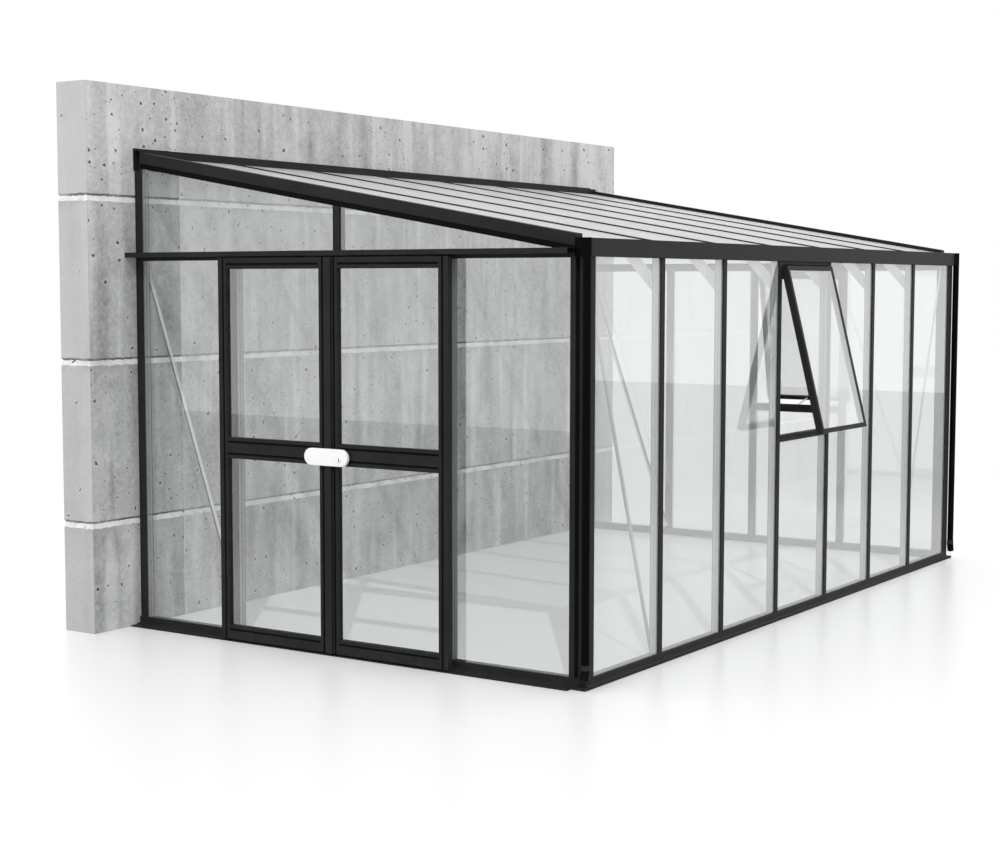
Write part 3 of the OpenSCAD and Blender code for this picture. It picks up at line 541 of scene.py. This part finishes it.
pipe_plastic = coated("black_pipe_plastic", (0.0012, 0.0012, 0.0012, 1), (0.0022, 0.0022, 0.0022, 1),
                      0.0002, 0.05, collar_highlight_band)
for name in ("gutter_outlets", "downpipes"):
    dress(name, pipe_plastic)

# Knee plates and wind braces are flat bars of bare light aluminium, bolted to the inside of the
# posts. The long side's brace by the doors is painted darker as shade, and its window's stay is coated.
bare_pale, bare_light = (0.62, 0.62, 0.625, 1), (0.70, 0.70, 0.705, 1)
# Grey painted on the near front brace as shade
brace_shade_grey = (0.29, 0.29, 0.295, 1)
metal_grain, metal_gloss = 0.0001, 0.5
wall_middle_x, far_window_x = 0.0, 1.5
brace_arris = 0.0008


def painted_before(x_limit, near_colour):
    """Paints what lies nearer the door gable than x_limit."""
    def paint(tree, colour):
        nearer = calc(tree, "LESS_THAN", object_place(tree)["X"], x_limit)
        return blend_colour(tree, nearer, colour, near_colour)
    return paint


def bare(name, paint_over=None):
    return coated(name, bare_pale, bare_light, metal_grain, metal_gloss, paint_over)


bare_metal = bare("bare_aluminium")
brace_metals = {"knee_braces": bare_metal,
                "front_braces": bare("shaded_aluminium", painted_before(wall_middle_x, brace_shade_grey)),
                "gable_braces": bare_metal,
                "window_stays": bare("stay_metal", painted_before(far_window_x, coat_light))}
for name, metal in brace_metals.items():
    dress(name, metal)
    round_arrises(name, brace_arris)

# Screws hold clips on the inside of the posts, and a hexagon bolt holds each end of a wind brace.
# A dark strip is painted along one edge of a brace as the shade on a flange turned from the light:
# the lower edge, or the upper one in the far gable. The long side's far brace has none.
clip_heights = (0.257, 1.107, 1.953)
clip_radius, clip_height, clip_taper = 0.009, 0.006, 0.6
bolt_radius, bolt_height, bolt_in = 0.009, 0.006, 0.035
stud_sides, bolt_sides = 16, 6
shade_from = 0.2
brace_shade_metal = coated("brace_shade_strip_metal", (0.09, 0.09, 0.092, 1), (0.12, 0.12, 0.122, 1), metal_grain, 0.3)

shape = bmesh.new()
for low, high in (corners_of(group) for group in solids("front_posts")):
    for z in clip_heights:
        if z < high.z - clip_radius:
            foot = Vector(((low.x + high.x) / 2, high.y - seam, z))
            add_stud(shape, foot, Vector((0, 1, 0)), clip_radius, clip_height, stud_sides, clip_taper)
make_piece("post_clips", shape, [anthracite], "building")

shape = bmesh.new()
shade_strips = bmesh.new()
for name in ("front_braces", "gable_braces"):
    for group in solids(name):
        inward = Vector((0, 1, 0))
        if name == "gable_braces":
            inward = Vector((1 if group[0].x < 0 else -1, 0, 0))
        by_height = sorted(group, key=lambda point: point.z)
        foot = sum(by_height[:4], Vector()) / 4
        head = sum(by_height[-4:], Vector()) / 4
        along = (head - foot).normalized()
        half_thick = max((point - foot).dot(inward) for point in group)
        for place in (foot + along * bolt_in, head - along * bolt_in):
            seat = place + inward * (half_thick - seam)
            add_stud(shape, seat, inward, bolt_radius, bolt_height, bolt_sides)
        if name == "front_braces" and foot.x > 0:
            continue
        # The dark strip along the brace's edge is painted shade
        sideways = along.cross(inward)
        if (sideways.z > 0) != (inward.x < 0):
            sideways = -sideways
        half_width = max((point - foot).dot(sideways) for point in group)
        turn = Matrix((sideways, along, inward)).transposed().to_4x4()
        width = half_width * (1 - shade_from)
        centre = (foot + head) / 2 + sideways * (half_width * (1 + shade_from) / 2 + seam)
        size = Matrix.Diagonal((width, (head - foot).length - bolt_in, 2 * (half_thick + seam), 1))
        bmesh.ops.create_cube(shade_strips, size=1.0, matrix=Matrix.Translation(centre) @ turn @ size)
make_piece("brace_bolts", shape, [bare_metal], "building")
make_piece("brace_shade_strips", shade_strips, [brace_shade_metal], "building")

# Each sash hangs on two round hinge knuckles under the nose of its fixed bar, one near each end
# of the bar.
knuckle_radius, knuckle_length = 0.007, 0.070
knuckle_places = (0.18, 0.82)
nose_height, sash_gap_height, hinge_depth = 0.020, 0.036, 0.010
knuckle_drop = (nose_height + sash_gap_height) / 2

shape = bmesh.new()
front_bar, far_bar = [corners_of(group) for group in solids("window_hinge_bars")]
for share in knuckle_places:
    low, high = front_bar
    start = low.x + share * (high.x - low.x) - knuckle_length / 2
    foot = Vector((start, low.y + hinge_depth, high.z - knuckle_drop))
    add_stud(shape, foot, Vector((1, 0, 0)), knuckle_radius, knuckle_length, stud_sides)
    low, high = far_bar
    start = low.y + share * (high.y - low.y) - knuckle_length / 2
    foot = Vector((high.x - hinge_depth, start, high.z - knuckle_drop))
    add_stud(shape, foot, Vector((0, 1, 0)), knuckle_radius, knuckle_length, stud_sides)
make_piece("sash_hinges", shape, [anthracite], "building")

# The hangers of the doors are coated like the frame. The lock is a white moulded case with round
# ends, held over the joint of the two leaves by a pad on the left leaf.
case_length_share, case_height_share = 0.95, 0.86
case_rounding, arc_steps = 0.004, 12
enamel = coated("white_lock_plastic", (0.92, 0.92, 0.915, 1), (0.95, 0.95, 0.945, 1), 0.0002, 0.5)


def round_rim(shape, front_x, radius, steps):
    """Rounds the edges that lie in the front face of a shape."""
    rim = [edge for edge in shape.edges if all(corner.co.x < front_x + seam for corner in edge.verts)]
    bmesh.ops.bevel(shape, geom=rim, offset=radius, affect="EDGES", segments=steps, profile=0.5, material=-1)


for name in ("left_door_hangers", "right_door_hangers"):
    dress(name, anthracite)

case_points = [point for group in solids("lock_case") for point in group]
low, high = corners_of(case_points)
middle = (low + high) / 2
plate_back = sorted({round(point.x, 4) for point in case_points})[1]
pad_low, pad_high = corners_of([point for point in case_points if point.x > plate_back + seam])
case_radius = (high.z - low.z) * case_height_share / 2
half_flat = (high.y - low.y) * case_length_share / 2 - case_radius
outline = []
for side in (1, -1):
    for step in range(arc_steps + 1):
        angle = math.pi * (step / arc_steps - 0.5)
        outline.append((plate_back, middle.y + side * (half_flat + case_radius * math.cos(angle)),
                        middle.z + side * case_radius * math.sin(angle)))
shape = bmesh.new()
add_prism(shape, outline, (low.x - plate_back, 0, 0))
round_rim(shape, low.x, case_rounding, 3)
add_block(shape, (plate_back - seam, pad_low.y, pad_low.z), pad_high)
lock_cover = make_piece("lock_cover", shape, [enamel], "left_door")
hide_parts("lock_case")

# The knob is a round key cylinder with a rounded rim. A dark strip across its face, which
# stands out by a hair, is painted shade where the keyway is.
slot_length, slot_width, slot_depth, slot_lift = 0.018, 0.0050, 0.001, 0.0002
knob_sides, knob_rounding = 32, 0.002
low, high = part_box("lock_knob")
middle = (low + high) / 2
shape = bmesh.new()
add_stud(shape, Vector((high.x, middle.y, middle.z)), Vector((-1, 0, 0)), (high.z - low.z) / 2,
         high.x - low.x, knob_sides)
round_rim(shape, low.x, knob_rounding, 2)
body_faces = set(shape.faces)
# The dark strip is painted shade in the keyway
slot_x = low.x - slot_lift
add_block(shape, (slot_x, middle.y - slot_width / 2, middle.z - slot_length / 2),
          (slot_x + slot_depth, middle.y + slot_width / 2, middle.z + slot_length / 2))
for face in shape.faces:
    face.material_index = 0 if face in body_faces else 1
key_cylinder = make_piece("key_cylinder", shape, [enamel, rubber], "left_door")
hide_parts("lock_knob")

# The floor is a plain pale studio floor that ends well away from the building, and the light is a
# broad white room with one soft lamp behind the viewer's shoulder. The floor fades to white away
# from the building, and what glass mirrors of it darkens with distance.
side_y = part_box("corner_posts")[0].y
floor_near, floor_far = gable_x - 13.45, gable_x + 25.0
floor_half = 18.0
floor_drop = 0.001
fade_start, fade_end = 3.2, 7.5
floor_tone = (0.66, 0.66, 0.66, 1)
mirrored_near = (0.62, 0.62, 0.62, 1)
mirrored_far = (0.13, 0.13, 0.13, 1)
floor_white = (0.97, 0.97, 0.97, 1)
white = (1, 1, 1, 1)
room_light = 1.0
sun_heading, sun_height, sun_width = math.radians(35.0), math.radians(45.5), math.radians(0.6)
sun_strength = 1.0

floor_mesh = bpy.data.meshes.new("studio_floor")
floor = add_object("studio_floor", floor_mesh)
shape = bmesh.new()
bmesh.ops.create_grid(shape, x_segments=1, y_segments=1, size=1.0)
bmesh.ops.scale(shape, vec=((floor_far - floor_near) / 2, floor_half, 1), verts=shape.verts)
bmesh.ops.translate(shape, vec=((floor_far + floor_near) / 2, 0, -floor_drop), verts=shape.verts)
shape.to_mesh(floor_mesh)
shape.free()
floor_material, tree = new_material("pale_floor")
path = add_node(tree, "LightPath").outputs
seen = calc(tree, "MAXIMUM", path["Is Camera Ray"], path["Is Transmission Ray"])
away = add_node(tree, "VectorMath", {"operation": "LENGTH"}, _0=add_node(tree, "TexCoord").outputs["Object"])
far_off = spread(tree, away.outputs["Value"], fade_start, fade_end)
mirrored = blend_colour(tree, far_off, mirrored_near, mirrored_far)
tone = blend_colour(tree, path["Is Glossy Ray"], floor_tone, mirrored)
tone = blend_colour(tree, seen, tone, floor_white)
lit = add_node(tree, "BsdfPrincipled", None, Base_Color=tone, Roughness=0.30, Specular_IOR_Level=0.3)
plain = add_node(tree, "Emission", None, Color=white, Strength=1.0)
faded = calc(tree, "MULTIPLY", seen, far_off)
finish_surface(tree, mix_shaders(tree, faded, lit.outputs["BSDF"], plain.outputs["Emission"]))
floor_mesh.materials.append(floor_material)

world = bpy.data.worlds.new("white_room")
bpy.context.scene.world = world
world.use_nodes = True
tree = world.node_tree
tree.nodes.clear()
room = add_node(tree, "Background", None, Color=white, Strength=room_light)
add_node(tree, "OutputWorld", None, Surface=room.outputs["Background"])


def pointing(heading, tilt):
    """The direction of a heading from +X and a tilt from level."""
    return Vector((math.cos(heading) * math.cos(tilt), math.sin(heading) * math.cos(tilt), math.sin(tilt)))


sun_data = bpy.data.lights.new("soft_key", "SUN")
sun_data.energy = sun_strength
sun_data.angle = sun_width
sun = add_object("soft_key", sun_data)
sun.rotation_euler = pointing(sun_heading, -sun_height).to_track_quat("-Z", "Y").to_euler()

# The camera stands before the corner of the door gable and the long side, a little over eye height,
# and looks slightly down.
eye = Vector((gable_x - 7.6220, side_y - 4.5538, 2.0387))
eye_heading, eye_tilt, eye_roll = math.radians(33.6475), math.radians(-4.6473), math.radians(0.0629)
focal_share = 1.78642

camera_data = bpy.data.cameras.new("view")
camera_data.sensor_fit = "HORIZONTAL"
camera_data.sensor_width = 36.0
camera_data.lens = focal_share * camera_data.sensor_width
camera = add_object("view", camera_data)
ahead = pointing(eye_heading, eye_tilt)
level = ahead.cross(Vector((0, 0, 1))).normalized()
right = math.cos(eye_roll) * level + math.sin(eye_roll) * level.cross(ahead)
turned = Matrix((right, right.cross(ahead), -ahead)).transposed()
camera.matrix_world = Matrix.Translation(eye) @ turned.to_4x4()
bpy.context.scene.camera = camera
bpy.context.scene.view_settings.view_transform = "Standard"
